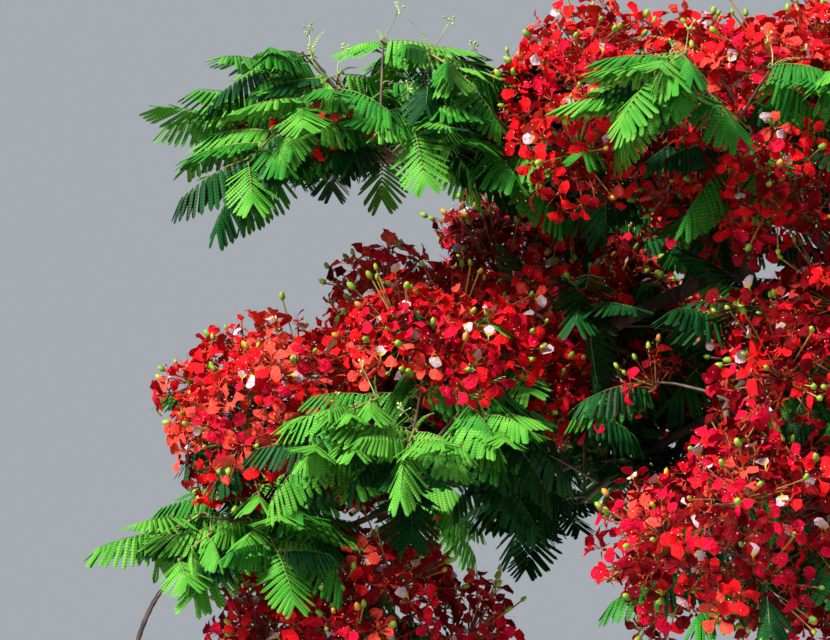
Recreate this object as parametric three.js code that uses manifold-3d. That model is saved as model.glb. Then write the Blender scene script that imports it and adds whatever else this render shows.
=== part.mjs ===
// A young flame tree in full bloom. A short trunk forks low into limbs that rise steeply, and
// their boughs arch out and weep at the ends. They carry masses of scarlet blossom over sprays
// of feathery leaves, and a few long flat seed pods hang among them.
// Millimetres and degrees, +Z up, origin in the middle of the flat cut under the trunk.
// Azimuth 0 is +X, 90 is +Y, 180 is -X and 270 is -Y.

import * as THREE from "three";
import { mergeVertices } from "three/addons/utils/BufferGeometryUtils.js";
import Module from "manifold-3d";

const wasm = await Module();
wasm.setup();

// Driving dimensions
const GAP = 0.35; // kept between pieces that meet
const TRUNK_HEIGHT = 1150;
const TRUNK_BASE_RADIUS = 84;
const TRUNK_TOP_RADIUS = 60;
const TRUNK_LEAN = 14;
const FLARE_RADIUS = 74; // added to the trunk's radius at the ground
const FLARE_HEIGHT = 130;
const ROOT_RIDGES = 5;
const LIMB_REACH = 265;
const LIMB_HEIGHT = 1740;
const LIMB_RADII = [42, 34]; // at the base and at the tip
const FORK_REACH = 560;
const FORK_HEIGHT = 2480;
const FORK_RADII = [30, 20];
const BOUGH_BASE_RADIUS = 19;
const BOUGH_TIP_RADIUS = 12;
const TRUSS_RADIUS = 160; // a truss of flowers, made as one five-petalled bloom
const TRUSSES = 7; // in a mass of blossom, where they fit
const LEAVES = 4; // in a mass of leaves, where they fit
const LEAF_LENGTH = 280;
const LEAF_WIDTH = 160;
const TRIES = 12; // for each truss or leaf
const ROOM = { blossom: 1.4, leaves: 1.7 }; // how far shoots may reach, in a mass's half sizes
const TWIG_RADIUS = 4.5;
const POD_LENGTH = 430;
const POD_WIDTH = 44;
const POD_THICKNESS = 11;
const POD_STALK = 128;

const COLOURS = {
  bark: 0x6f5d50,
  blossom: [0xd81e1c, 0xc4141f, 0xe03520],
  leaves: [0x4f9a2a, 0x3f8a34, 0x5fae2e],
  pod: 0x33201c,
};

const GOLDEN_ANGLE = Math.PI * (3 - Math.sqrt(5));
const UP = new THREE.Vector3(0, 0, 1);

const radians = THREE.MathUtils.degToRad;
const point = (x, y, z) => new THREE.Vector3(x, y, z);
const around = (azimuth, reach, height) =>
  point(reach * Math.cos(radians(azimuth)), reach * Math.sin(radians(azimuth)), height);

// Numbers from 0 to 1 that are the same on every run.
function seeded(seed) {
  let state = seed >>> 0;
  return () => {
    state = (Math.imul(1664525, state) + 1013904223) >>> 0;
    return state / 4294967296;
  };
}

// The limbs' centre lines

const limbs = new Map();

// A limb grows from the tip of another one to a point round the trunk. Its arch is how far
// its middle is drawn upwards.
function grow(name, from, azimuth, reach, height, arch, base, tip = BOUGH_TIP_RADIUS) {
  const start = limbs.get(from).tip;
  const end = around(azimuth, reach, height);
  const middle = start.clone().lerp(end, 0.5).addScaledVector(UP, arch);
  limbs.set(name, {
    curve: new THREE.QuadraticBezierCurve3(start, middle, end),
    tip: end,
    radius: (t) => base + (tip - base) * t,
    tipRadius: tip,
    sides: 6,
    steps: 5,
  });
}

function trunkRadius(t, angle) {
  const height = t * TRUNK_HEIGHT;
  const flare = FLARE_RADIUS * Math.exp(-height / FLARE_HEIGHT);
  const ridges = 1 + 0.3 * Math.cos(ROOT_RIDGES * angle);
  return THREE.MathUtils.lerp(TRUNK_BASE_RADIUS, TRUNK_TOP_RADIUS, t) + flare * ridges;
}

const crotch = point(-TRUNK_LEAN, TRUNK_LEAN, TRUNK_HEIGHT);
limbs.set("trunk", {
  curve: new THREE.CubicBezierCurve3(
    point(0, 0, 0),
    point(0, 0, TRUNK_HEIGHT * 0.3),
    point(TRUNK_LEAN * 2, 0, TRUNK_HEIGHT * 0.7),
    crotch,
  ),
  tip: crotch,
  radius: trunkRadius,
  tipRadius: TRUNK_TOP_RADIUS,
  sides: 15,
  steps: 9,
});

grow("limb_left", "trunk", 228, LIMB_REACH, LIMB_HEIGHT, -60, ...LIMB_RADII);
grow("limb_right", "trunk", 338, LIMB_REACH, LIMB_HEIGHT, -60, ...LIMB_RADII);
grow("limb_back", "trunk", 100, LIMB_REACH, LIMB_HEIGHT, -60, ...LIMB_RADII);

grow("fork_left", "limb_left", 207.5, 541, 2560, 90, ...FORK_RADII);
grow("fork_front", "limb_left", 249, 557, 2430, 60, ...FORK_RADII);
grow("fork_inner", "limb_left", 184, 520, 2270, 40, 24, 15);
grow("leader", "limb_back", 180, 110, 2620, 0, 28, 18);

grow("bough_low_left", "fork_left", 202.1, 1198, 2235, 35, BOUGH_BASE_RADIUS, 14);
grow("bough_weeping_left", "bough_low_left", 200.5, 1285, 2052, 30, 12, 8);
grow("bough_high_left", "fork_left", 201.5, 1172, 2803, 190, BOUGH_BASE_RADIUS, 11);
grow("bough_weeping_front", "fork_front", 232.4, 934, 2260, 180, BOUGH_BASE_RADIUS, 10);

// Round the right and the back, each fork bears one high bough and one low one.
const SIDES = [
  { side: "front_right", limb: "limb_right", azimuth: 303, lift: -10 },
  { side: "right", limb: "limb_right", azimuth: 8, lift: 25 },
  { side: "back_right", limb: "limb_back", azimuth: 66, lift: -15 },
  { side: "back_left", limb: "limb_back", azimuth: 134, lift: 20 },
];
for (const { side, limb, azimuth, lift } of SIDES) {
  const fork = "fork_" + side;
  grow(fork, limb, azimuth, FORK_REACH, FORK_HEIGHT + lift, 70, ...FORK_RADII);
  grow("bough_high_" + side, fork, azimuth - 12, 980, 2640 + lift, 110, BOUGH_BASE_RADIUS);
  grow("bough_low_" + side, fork, azimuth + 12, 1180, 2230 + lift, 170, BOUGH_BASE_RADIUS);
}

// The masses of blossom and leaves, each in an ellipsoid of space

const masses = new Map();

function mass(name, from, centre, half, wanted) {
  const limb = limbs.get(from);
  const kind = name.startsWith("leaves") ? "leaves" : "blossom";
  const count = wanted ?? (kind === "leaves" ? LEAVES : TRUSSES);
  const siblings = [...masses.values()].filter((m) => m.from === from).length;
  const heart = centre.clone().addScaledVector(UP, -0.4 * half.z);
  const along = limb.curve.getTangent(1).normalize();
  const start = limb.tip.clone().addScaledVector(along, -siblings * 1.5 * limb.tipRadius);
  const middle = start.clone().lerp(heart, 0.5).addScaledVector(along, 30);
  masses.set(name, {
    name,
    kind,
    from,
    centre,
    half,
    heart,
    count,
    seed: 1000 * (masses.size + 1),
    stem: {
      curve: new THREE.QuadraticBezierCurve3(start, middle, heart),
      radius: (t) => limb.tipRadius * 0.8 * (1 - t) + TWIG_RADIUS * 1.7 * t,
      sides: 5,
      steps: 3,
    },
  });
}

mass("leaves_high_left", "bough_high_left", point(-1310, -430, 2870), point(470, 300, 235), 12);
mass("blossom_crown_left", "fork_left", point(-790, -430, 2880), point(290, 280, 215), 12);
mass("blossom_crown_front", "fork_front", point(-470, -560, 2820), point(325, 300, 260), 12);
mass("leaves_crown_front", "fork_left", point(-610, -870, 2900), point(320, 190, 100), 5);
mass("blossom_front", "fork_front", point(-320, -790, 2360), point(250, 260, 230), 9);
mass("blossom_left", "bough_low_left", point(-1110, -430, 2345), point(275, 260, 185), 12);
mass("blossom_left_tip", "bough_low_left", point(-1460, -420, 2235), point(265, 255, 200), 10);
mass("leaves_left", "bough_weeping_left", point(-1215, -690, 2215), point(285, 235, 135), 7);
mass("leaves_low_left", "bough_weeping_left", point(-1570, -490, 1985), point(235, 245, 130), 8);
mass("blossom_low_left", "bough_weeping_left", point(-1320, -410, 1785), point(275, 265, 250), 10);
mass("blossom_low_front", "bough_weeping_front", point(-495, -830, 1990), point(320, 300, 250), 10);
mass("blossom_inner_high", "fork_inner", point(-900, 60, 2520), point(270, 260, 180));
mass("blossom_inner_back", "fork_inner", point(-600, 240, 2310), point(270, 260, 200), 7);
mass("leaves_inner", "fork_inner", point(-850, -120, 2090), point(280, 250, 190), 5);
mass("blossom_top", "leader", point(110, 20, 2950), point(310, 300, 190));
mass("blossom_top_left", "leader", point(-400, 0, 2915), point(290, 280, 180));

for (const [index, { side, azimuth, lift }] of SIDES.entries()) {
  const fork = "fork_" + side;
  const high = "bough_high_" + side;
  const low = "bough_low_" + side;
  mass("blossom_crown_" + side, fork, around(azimuth, 610, 2850 + lift), point(300, 300, 205));
  mass("blossom_high_" + side, high, around(azimuth - 14, 1160, 2730 + lift), point(320, 320, 205));
  if (index % 2 === 0)
    mass("leaves_high_" + side, high, around(azimuth + 14, 1300, 2620 + lift), point(330, 330, 170));
  mass("blossom_low_" + side, low, around(azimuth + 7, 1440, 2180 + lift), point(330, 330, 235));
  mass("leaves_low_" + side, low, around(azimuth + 33, 1390, 2020 + lift), point(330, 330, 165));
}

// The seed pods hang outside the heart of a mass of leaves, each on its own stalk.

const pods = new Map();

function pod(name, from, azimuth) {
  const { heart } = masses.get(from);
  const out = around(azimuth, 1, 0);
  const knee = heart.clone().addScaledVector(out, POD_STALK).addScaledVector(UP, -26);
  const bend = knee.clone().addScaledVector(out, 0.25 * POD_LENGTH).addScaledVector(UP, -0.17 * POD_LENGTH);
  const end = knee.clone().addScaledVector(out, 0.3 * POD_LENGTH).addScaledVector(UP, -0.93 * POD_LENGTH);
  pods.set(name, {
    from,
    stalk: {
      curve: new THREE.QuadraticBezierCurve3(heart, heart.clone().lerp(knee, 0.6), knee),
      radius: () => 3.5,
      sides: 4,
      steps: 1,
    },
    blade: {
      curve: new THREE.QuadraticBezierCurve3(knee, bend, end),
      radius: podRadius,
      sides: 6,
      steps: 6,
    },
  });
}

// A flat oval section that swells from the stalk and runs out to a point.
function podRadius(t, angle) {
  const swell = 0.15 + 0.85 * Math.pow(Math.sin(Math.PI * Math.min(0.96, 0.08 + 0.88 * t)), 0.45);
  const across = Math.cos(angle) / (0.5 * POD_THICKNESS);
  const along = Math.sin(angle) / (0.5 * POD_WIDTH);
  return swell / Math.hypot(across, along);
}

pod("pod_left", "leaves_low_left", 188);
pod("pod_right", "leaves_low_right", 44);

// Solids

// A closed shape with its corners merged and each one moved to its place.
function shaped(geometry, place) {
  geometry.deleteAttribute("normal");
  geometry.deleteAttribute("uv");
  const merged = mergeVertices(geometry, 1e-4);
  const { position } = merged.attributes;
  for (let i = 0; i < position.count; i++) {
    const moved = place(new THREE.Vector3().fromBufferAttribute(position, i));
    position.setXYZ(i, moved.x, moved.y, moved.z);
  }
  return merged;
}

function solidOf(geometry) {
  return new wasm.Manifold(
    new wasm.Mesh({
      numProp: 3,
      vertProperties: geometry.attributes.position.array,
      triVerts: new Uint32Array(geometry.index.array),
    }),
  );
}

function geometryOf(solid) {
  const { vertProperties, triVerts } = solid.getMesh();
  return new THREE.BufferGeometry()
    .setAttribute("position", new THREE.BufferAttribute(vertProperties, 3))
    .setIndex(new THREE.BufferAttribute(triVerts, 1));
}

// A cylinder bent along a curve. The radius is a function of the share of the length and of
// the angle round it, and extra thickens it all over, ends included.
function tube({ curve, radius, sides, steps }, extra = 0) {
  const stations = [];
  let side = null;
  for (let i = 0; i <= steps; i++) {
    const along = curve.getTangent(i / steps).normalize();
    const from = side ?? point(0, along.z, -along.y);
    side = from.clone().addScaledVector(along, -from.dot(along)).normalize();
    const middle = curve.getPoint(i / steps);
    if (i === 0) middle.addScaledVector(along, -extra);
    if (i === steps) middle.addScaledVector(along, extra);
    stations.push({ middle, side, across: side.clone().cross(along) });
  }
  const place = ({ x, y, z }) => {
    const t = y + 0.5;
    const { middle, side: u, across: w } = stations[Math.round(t * steps)];
    if (Math.hypot(x, z) < 0.5) return middle.clone();
    const reach = radius(t, Math.atan2(z, x)) + extra;
    return middle.clone().addScaledVector(u, x * reach).addScaledVector(w, z * reach);
  };
  return solidOf(shaped(new THREE.CylinderGeometry(1, 1, 1, sides, steps), place));
}

// Axes at a place, with `out` as near to the wished direction as `along` allows.
function axesAt(along, wished) {
  const u = along.clone().normalize();
  const out = wished.clone().addScaledVector(u, -wished.dot(u)).normalize();
  return { u, out, w: u.clone().cross(out) };
}

// A truss of flowers as one large bloom with five pointed petals round a raised axis. Its
// twig enters it under one petal.
function bloomCorners({ end, axes, size }) {
  const inFace = Math.PI / 5;
  const centre = end
    .clone()
    .addScaledVector(axes.u, -0.4 * size * Math.cos(inFace))
    .addScaledVector(axes.w, -0.4 * size * Math.sin(inFace));
  return ({ x, y, z }) =>
    centre
      .clone()
      .addScaledVector(axes.u, x * size)
      .addScaledVector(axes.w, z * size)
      .addScaledVector(axes.out, size * (y > 0.5 ? 0.22 : y < -0.5 ? -0.3 : -0.08));
}

// One leaf: a long blade, folded along its rib and drooping towards its tip.
function leafCorners({ end, axes, size }) {
  return ({ x, y, z }) => {
    const pole = Math.abs(y) > 0.5;
    const along = pole ? 0.5 : 0.5 + 0.5 * x;
    const across = pole ? 0 : 0.5 * Math.sign(z) * Math.pow(Math.abs(z), 0.6);
    const rise = (pole ? 0.016 * y : -0.2 * Math.abs(across)) - 0.26 * along * along;
    return end
      .clone()
      .addScaledVector(axes.u, size * (along - 0.05))
      .addScaledVector(axes.w, LEAF_WIDTH * across)
      .addScaledVector(axes.out, size * rise);
  };
}

// The growth rule

// How far out a place is in a mass's space: 0 at its centre and 1 at its edge.
const depthIn = (m, p) => p.clone().sub(m.centre).divide(m.half).length();

// Places along a curve with the radius there.
function samples({ curve, radius }, count = 16) {
  return Array.from({ length: count + 1 }, (_, i) => {
    const t = i / count;
    return { place: curve.getPoint(t), radius: Math.max(radius(t, 0), radius(t, Math.PI / 2)) };
  });
}

const wood = new Map();
for (const [name, limb] of limbs) wood.set(name, samples(limb));
for (const [name, m] of masses) wood.set(name, samples(m.stem));
for (const [name, { stalk, blade }] of pods) wood.set(name, [...samples(stalk), ...samples(blade)]);

// True if a place is nearer to the heart of the mass than to that of any other.
const isOwn = (m, place) =>
  [...masses.values()].every((other) => other === m || depthIn(other, place) > depthIn(m, place));

// True if no place leaves the mass's space or comes near wood other than its own stem.
function isFree(m, places, clearance) {
  for (const place of places) {
    if (depthIn(m, place) > ROOM[m.kind]) return false;
    for (const [name, along] of wood)
      if (name !== m.name && along.some((w) => w.place.distanceTo(place) < w.radius + clearance))
        return false;
  }
  return true;
}

// A shoot of a mass: a twig from the last half of its stem to a place that a golden spiral
// deals out over the mass's space, from the top down. Each new try strays further from it.
function shootOf(m, index, attempt) {
  const random = seeded(m.seed + 20 * index + attempt);
  const leafy = m.kind === "leaves";
  const lowest = leafy ? -0.5 : -0.7;
  const stray = 0.12 * attempt;
  const share = (index + 0.5) / m.count;
  const level = THREE.MathUtils.clamp(1 - share * (1 - lowest) + stray * (random() - 0.5), -0.9, 0.99);
  const turn = index * GOLDEN_ANGLE + m.seed + 3 * stray * (random() - 0.5);
  const ring = Math.sqrt(1 - level * level);
  const way = point(Math.cos(turn) * ring, Math.sin(turn) * ring, level);
  const reach = 0.74 + (0.15 + 0.5 * stray) * (random() - 0.4);
  const spread = leafy ? point(0.6, 0.6, 1) : point(1, 1, 1);
  const end = way.clone().multiply(m.half).multiply(spread).multiplyScalar(reach).add(m.centre);
  const start = m.stem.curve.getPoint(0.5 + 0.45 * random());
  const bend = start.clone().lerp(end, 0.5).addScaledVector(UP, 10 + 30 * random());
  const twig = {
    curve: new THREE.QuadraticBezierCurve3(start, bend, end),
    radius: () => TWIG_RADIUS,
    sides: 3,
    steps: 1,
  };
  return { way, end, twig, random };
}

// What grows at the end of a shoot: a truss of blossom, or a leaf.
function endOf(m, { way, end, random }) {
  if (m.kind === "blossom") {
    const axes = axesAt(point(-way.y, way.x, 0.15), way.clone().addScaledVector(UP, 0.45));
    const size = TRUSS_RADIUS * (0.92 + 0.16 * random());
    return shaped(new THREE.SphereGeometry(1, 5, 2), bloomCorners({ end, axes, size }));
  }
  const turn = Math.atan2(way.y, way.x) + 0.7 * (random() - 0.5);
  const axes = axesAt(point(Math.cos(turn), Math.sin(turn), -0.15 - 0.5 * random()), UP);
  const size = LEAF_LENGTH * (0.85 + 0.2 * random());
  return shaped(new THREE.SphereGeometry(1, 6, 2), leafCorners({ end, axes, size }));
}

// Joining and cutting

const made = [];

function largest(solid) {
  const bodies = solid.decompose();
  return bodies.reduce((a, b) => (b.volume() > a.volume() ? b : a));
}

function boxesMeet(a, b) {
  const [p, q] = [a.boundingBox(), b.boundingBox()];
  return [0, 1, 2].every((k) => p.min[k] <= q.max[k] && q.min[k] <= p.max[k]);
}

const touches = (solid, others) =>
  others.some((other) => boxesMeet(solid, other) && !solid.intersect(other).isEmpty());

function cornersOf({ attributes: { position } }) {
  const corner = (_, i) => new THREE.Vector3().fromBufferAttribute(position, i);
  return Array.from({ length: position.count }, corner);
}

// A mass is one body, because each truss or leaf is fused to its stem by a twig. A try that
// would leave the mass's space or touch anything else but its stem isn't taken.
function massSolid(m) {
  const stems = [...masses.values()].filter((other) => other !== m).map((other) => tube(other.stem, 4));
  const others = [...made.map((piece) => piece.solid), ...stems];
  const fits = ({ end, twig }, shape) => {
    const places = samples(twig, 10).slice(3, -1).map((s) => s.place);
    const corners = cornersOf(shape);
    places.push(...corners, ...corners.map((corner) => corner.clone().lerp(end, 0.5)));
    if (!isOwn(m, end) || !isFree(m, places, 8)) return false;
    const larger = shape.clone().translate(-end.x, -end.y, -end.z).scale(1.05, 1.05, 1.05);
    larger.translate(end.x, end.y, end.z);
    return !touches(tube(twig, 2), others) && !touches(solidOf(larger), others);
  };
  let whole = tube(m.stem);
  for (let index = 0; index < m.count; index++)
    for (let attempt = 0; attempt < TRIES; attempt++) {
      const shoot = shootOf(m, index, attempt);
      const shape = endOf(m, shoot);
      if (!fits(shoot, shape)) continue;
      const solid = solidOf(shape);
      whole = whole.add(tube(shoot.twig)).add(solid);
      others.push(solid);
      break;
    }
  return whole;
}

// A piece grows out of what was made before it, cut back by the gap.
function finish(name, solid, thick) {
  let cut = solid;
  for (const other of made)
    if (boxesMeet(cut, other.thick)) cut = cut.subtract(other.thick);
  cut = largest(cut);
  made.push({ name, solid: cut, thick });
}

for (const [name, limb] of limbs) finish(name, tube(limb), tube(limb, GAP));
for (const [name, { stalk, blade }] of pods) {
  const whole = tube(stalk).add(tube(blade));
  const stem = tube(masses.get(pods.get(name).from).stem, GAP);
  finish(name, whole.subtract(stem), tube(stalk, GAP).add(tube(blade, GAP)));
}
for (const [name, m] of masses) finish(name, massSolid(m), tube(m.stem, GAP));

// The tree

const materials = {
  bark: new THREE.MeshStandardMaterial({ color: COLOURS.bark, roughness: 0.9, metalness: 0 }),
  pod: new THREE.MeshStandardMaterial({ color: COLOURS.pod, roughness: 0.55, metalness: 0 }),
};

function materialOf(name, index) {
  if (limbs.has(name)) return materials.bark;
  if (pods.has(name)) return materials.pod;
  const shades = COLOURS[masses.get(name).kind];
  return new THREE.MeshStandardMaterial({
    color: shades[index % shades.length],
    roughness: 0.6,
    metalness: 0,
  });
}

const tree = new THREE.Group();
tree.name = "flame_tree";
made.forEach(({ name, solid }, index) => {
  const mesh = new THREE.Mesh(geometryOf(solid), materialOf(name, index));
  mesh.name = name;
  tree.add(mesh);
});

export default tree;
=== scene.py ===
import math

import bpy
import numpy as np
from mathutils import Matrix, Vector, noise


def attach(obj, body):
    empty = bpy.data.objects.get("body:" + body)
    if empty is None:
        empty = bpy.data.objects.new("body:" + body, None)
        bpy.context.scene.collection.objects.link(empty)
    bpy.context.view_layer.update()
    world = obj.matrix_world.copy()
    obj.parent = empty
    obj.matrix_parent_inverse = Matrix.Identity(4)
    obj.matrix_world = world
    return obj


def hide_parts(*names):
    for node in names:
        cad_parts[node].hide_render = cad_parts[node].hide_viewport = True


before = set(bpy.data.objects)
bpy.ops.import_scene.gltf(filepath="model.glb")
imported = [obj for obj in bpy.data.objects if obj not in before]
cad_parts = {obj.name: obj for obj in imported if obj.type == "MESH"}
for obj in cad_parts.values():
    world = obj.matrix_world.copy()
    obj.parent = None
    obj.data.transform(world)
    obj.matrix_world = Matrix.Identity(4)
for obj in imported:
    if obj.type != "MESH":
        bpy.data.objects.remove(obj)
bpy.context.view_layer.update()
scene = bpy.context.scene

# Camera
# The photograph looks level into the left side of the crown from six and a half metres away,
# at the height of the blossom, and its frame cuts off the rest of the tree.
FRAME_WIDTH_PX, FOCAL_PX, SENSOR_MM = 830, 2840.5, 36
lens = bpy.data.cameras.new("camera")
lens.sensor_width = SENSOR_MM
lens.lens = SENSOR_MM * FOCAL_PX / FRAME_WIDTH_PX
lens.clip_end = 100
camera = bpy.data.objects.new("camera", lens)
camera.location = (-1.2, -6.5, 2.44)
camera.rotation_euler = (math.radians(90), 0, 0)
scene.collection.objects.link(camera)
scene.camera = camera

# Studio
# A pale round floor, a pale sky and one broad soft light from above, to the left and in front,
# as on the bright day of the photograph, with a weak light from the right.
FLOOR_RADIUS = 11
bpy.ops.object.select_all(action="DESELECT")
bpy.ops.mesh.primitive_circle_add(vertices=96, radius=FLOOR_RADIUS, fill_type="NGON")
floor = bpy.context.object
floor.name = "floor"
floor_paint = bpy.data.materials.new("floor_paint")
floor_paint.use_nodes = True
floor_shader = floor_paint.node_tree.nodes["Principled BSDF"]
floor_shader.inputs["Base Color"].default_value = (0.36, 0.36, 0.35, 1)
floor_shader.inputs["Roughness"].default_value = 0.9
floor.data.materials.append(floor_paint)

sky = bpy.data.worlds.new("sky")
sky.use_nodes = True
sky.node_tree.nodes["Background"].inputs["Color"].default_value = (0.86, 0.93, 1.0, 1)
sky.node_tree.nodes["Background"].inputs["Strength"].default_value = 0.44
scene.world = sky
scene.view_settings.view_transform = "Standard"


def sunlight(name, strength, softness, direction, colour):
    """A far light, as wide in the sky as softness in degrees, that shines in this direction."""
    light = bpy.data.lights.new(name, "SUN")
    light.energy = strength
    light.angle = math.radians(softness)
    light.color = colour
    holder = bpy.data.objects.new(name, light)
    holder.rotation_euler = Vector(direction).to_track_quat("-Z", "Y").to_euler()
    scene.collection.objects.link(holder)


sunlight("daylight", 7.7, 15, (0.68, 0.46, -0.82), (1.0, 0.97, 0.92))
sunlight("fill", 0.35, 60, (-0.8, 0.35, -0.2), (0.9, 0.95, 1.0))

# Trunk and limbs
# Living wood in one piece: a trunk that flares into root ridges at a flat cut, three limbs, their
# forks, and boughs that arch out and weep. Each grows from the tip of the one before it, and
# the bark is grey-brown, with fine cracks that run along the wood.
MM = 0.001
UP = np.array([0, 0, 1.0])
TRUNK_HEIGHT, TRUNK_LEAN, TRUNK_BASE, TRUNK_TIP = 1150, 14, 84, 60
LIMB = dict(reach=265, height=1740, arch=-60, base=42, tip=34)
FORK_REACH, FORK_HEIGHT, FORK_BASE, FORK_TIP = 560, 2480, 30, 20
BOUGH_BASE, BOUGH_TIP = 19, 12
SIDES = [
    ("front_right", "limb_right", 303, -10),
    ("right", "limb_right", 8, 25),
    ("back_right", "limb_back", 66, -15),
    ("back_left", "limb_back", 134, 20),
]


def unit(v):
    """The same way, 1 long."""
    return v / np.linalg.norm(v)


def around(azimuth, reach, height):
    """The place at this reach from the tree's axis, in this direction in degrees."""
    turn = math.radians(azimuth)
    return np.array([reach * math.cos(turn), reach * math.sin(turn), height])


def along_curve(controls, count):
    """Points on the Bezier curve of these control points, and the share from 0 to 1 of each."""
    t = np.linspace(0, 1, count)
    points = [np.outer(np.ones(count), c) for c in controls]
    while len(points) > 1:
        points = [a + (b - a) * t[:, None] for a, b in zip(points, points[1:])]
    return points[0], t


limbs = {
    "trunk": dict(
        controls=[
            np.zeros(3),
            np.array([0, 0, TRUNK_HEIGHT * 0.3]),
            np.array([TRUNK_LEAN * 2, 0, TRUNK_HEIGHT * 0.7]),
            np.array([-TRUNK_LEAN, TRUNK_LEAN, TRUNK_HEIGHT]),
        ],
        base=TRUNK_BASE,
        tip=TRUNK_TIP,
    )
}


def grow(name, parent, azimuth, reach, height, arch, base, tip=BOUGH_TIP):
    """Adds a limb from its parent's tip to a place, arched up by so much in its middle."""
    start, end = limbs[parent]["controls"][-1], around(azimuth, reach, height)
    middle = (start + end) / 2 + [0, 0, arch]
    limbs[name] = dict(controls=[start, middle, end], base=base, tip=tip)


for name, azimuth in (("limb_left", 228), ("limb_right", 338), ("limb_back", 100)):
    grow(name, "trunk", azimuth, **LIMB)
grow("fork_left", "limb_left", 207.5, 541, 2560, 90, FORK_BASE, FORK_TIP)
grow("fork_front", "limb_left", 249, 557, 2430, 60, FORK_BASE, FORK_TIP)
grow("fork_inner", "limb_left", 184, 520, 2270, 40, 24, 15)
grow("leader", "limb_back", 180, 110, 2620, 0, 28, 18)
grow("bough_low_left", "fork_left", 202.1, 1198, 2235, 35, BOUGH_BASE, 14)
grow("bough_weeping_left", "bough_low_left", 200.5, 1285, 2052, 30, 12, 8)
grow("bough_high_left", "fork_left", 201.5, 1172, 2803, 190, BOUGH_BASE, 11)
grow("bough_weeping_front", "fork_front", 232.4, 934, 2260, 180, BOUGH_BASE, 10)
for side, limb, azimuth, lift in SIDES:
    fork = "fork_" + side
    grow(fork, limb, azimuth, FORK_REACH, FORK_HEIGHT + lift, 70, FORK_BASE, FORK_TIP)
    grow("bough_high_" + side, fork, azimuth - 12, 980, 2640 + lift, 110, BOUGH_BASE)
    grow("bough_low_" + side, fork, azimuth + 12, 1180, 2230 + lift, 170, BOUGH_BASE)

CURVE_STEPS, COLLAR, COLLAR_SHARE = 28, 0.36, 0.07
ROUNDED_TIP = ((0.45, 0.86), (0.75, 0.6))


def wooden_tube(name):
    """A limb's own smooth tube with a rounded tip, thicker where it leaves the trunk."""
    limb = limbs[name]
    points, t = along_curve(limb["controls"], CURVE_STEPS)
    radii = limb["base"] + (limb["tip"] - limb["base"]) * t
    if name.startswith("limb"):
        radii *= 1 + COLLAR * np.exp(-t / COLLAR_SHARE)
    end, ahead = points[-1], unit(points[-1] - points[-2])
    for out, shrink in ROUNDED_TIP:
        points = np.vstack([points, end + ahead * out * limb["tip"]])
        radii = np.append(radii, limb["tip"] * shrink)
    path = bpy.data.curves.new(name, "CURVE")
    path.dimensions = "3D"
    path.bevel_depth = 1
    path.bevel_resolution = 6
    path.use_fill_caps = True
    spline = path.splines.new("POLY")
    spline.points.add(len(points) - 1)
    for corner, point, radius in zip(spline.points, points, radii):
        corner.co = (*(point * MM), 1)
        corner.radius = radius * MM
    wood = bpy.data.objects.new(name, path)
    scene.collection.objects.link(wood)
    return wood


FLARE_RADIUS, FLARE_HEIGHT, FLARE_TOP = 0.074, 0.130, 0.8
ROOT_RIDGES, RIDGE_DEPTH, CORE_RADIUS = 5, 0.3, 0.02


def flare_the_foot(mesh):
    """Widens the lowest part of the trunk's mesh, which is in metres, into root ridges."""
    for v in mesh.vertices:
        reach = math.hypot(v.co.x, v.co.y)
        if v.co.z > FLARE_TOP or reach <= CORE_RADIUS:
            continue
        angle = math.atan2(v.co.y, v.co.x)
        ridge = 1 + RIDGE_DEPTH * math.cos(ROOT_RIDGES * (angle - math.pi / 2))
        more = FLARE_RADIUS * math.exp(-v.co.z / FLARE_HEIGHT) * ridge
        v.co.x *= 1 + more / reach
        v.co.y *= 1 + more / reach


def union_of_tubes(piece_name, names, grain):
    """Tubes joined where they cross, with the creases of their joints grown over."""
    bpy.ops.object.select_all(action="DESELECT")
    tubes = [wooden_tube(name) for name in names]
    for wood in tubes:
        wood.select_set(True)
    bpy.context.view_layer.objects.active = tubes[0]
    bpy.ops.object.convert(target="MESH")
    bpy.ops.object.join()
    piece = bpy.context.object
    piece.name = piece_name
    if "trunk" in names:
        flare_the_foot(piece.data)
    remesh = piece.modifiers.new("one_skin", "REMESH")
    remesh.mode = "VOXEL"
    remesh.voxel_size = grain
    bpy.ops.object.modifier_apply(modifier="one_skin")
    soften = piece.modifiers.new("soft_joints", "SMOOTH")
    soften.factor = 0.6
    soften.iterations = 6
    bpy.ops.object.modifier_apply(modifier="soft_joints")
    return piece


def numbers_of(items, what):
    """What each item of a mesh holds under this name, as rows of three numbers."""
    numbers = np.zeros(len(items) * 3)
    items.foreach_get(what, numbers)
    return numbers.reshape(-1, 3)


CRACKS_ACROSS, CRACKS_ALONG, RINGS_ACROSS, RINGS_ALONG = 55, 16, 12, 90


def bark_relief(mesh, cracks, rings):
    """Moves the skin in and out: long shallow cracks with flat plates between them."""
    places = numbers_of(mesh.vertices, "co")
    rough, ring = [], []
    for x, y, z in places:
        crack = Vector((x * CRACKS_ACROSS, y * CRACKS_ACROSS, z * CRACKS_ALONG))
        rough.append(noise.fractal(crack, 0.9, 2.1, 4))
        ring.append(noise.noise(Vector((x * RINGS_ACROSS, y * RINGS_ACROSS, z * RINGS_ALONG))))
    height = cracks * np.clip(rough, -1, 0.35) + rings * np.array(ring)
    places += numbers_of(mesh.vertices, "normal") * height[:, None]
    mesh.vertices.foreach_set("co", places.ravel())


def level_the_foot(mesh):
    """Presses what hangs below the ground line back up to it."""
    for v in mesh.vertices:
        v.co.z = max(v.co.z, 0.0)


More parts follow.
